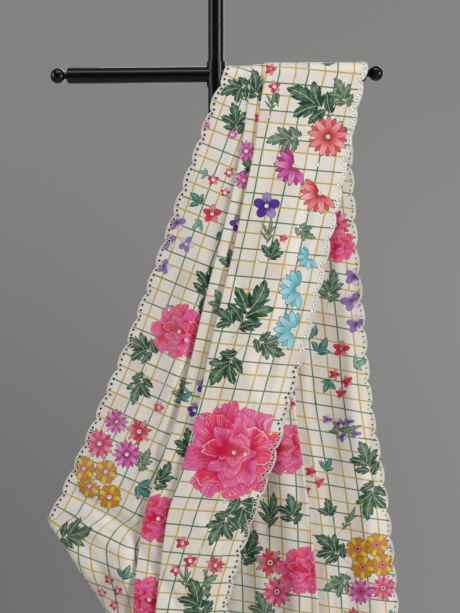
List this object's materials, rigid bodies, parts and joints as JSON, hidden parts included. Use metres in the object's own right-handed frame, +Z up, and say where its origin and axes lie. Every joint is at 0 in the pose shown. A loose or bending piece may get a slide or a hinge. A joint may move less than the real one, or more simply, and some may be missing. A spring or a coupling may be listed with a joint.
{
  "type": "silk saree on display stand",
  "caption": "Printed silk saree with scalloped borders, folded lengthwise and hung over one arm of a round-based T-shaped display stand.",
  "frame": {"origin": "centre of the underside of the stand's round base, on the floor", "axes": "+Z up along the post, +X along the arm that the cloth hangs over, -Y towards the viewer (the front fall)"},
  "size_m": [0.718, 0.38, 1.7971],
  "materials": {
    "silk": "soft sheen, printed with a fine check and flowers",
    "border": "soft sheen, sequinned",
    "enamel": "gloss"
  },
  "bodies": {
    "root": {"saree_front_left_panel": "silk", "saree_front_pleats": "silk", "saree_front_right_panel": "silk", "saree_over_arm": "silk", "saree_back_inner_panel": "silk", "saree_back_pleats": "silk", "saree_back_outer_panel": "silk", "border_front_left": "border", "border_front_right": "border", "border_back_left": "border", "border_back_right": "border", "base_plate": "enamel", "base_collar": "enamel", "post": "enamel", "cross_hub": "enamel", "left_arm": "enamel", "right_arm": "enamel", "left_finial": "enamel", "right_finial": "enamel", "top_finial": "enamel"}
  },
  "joints": []
}
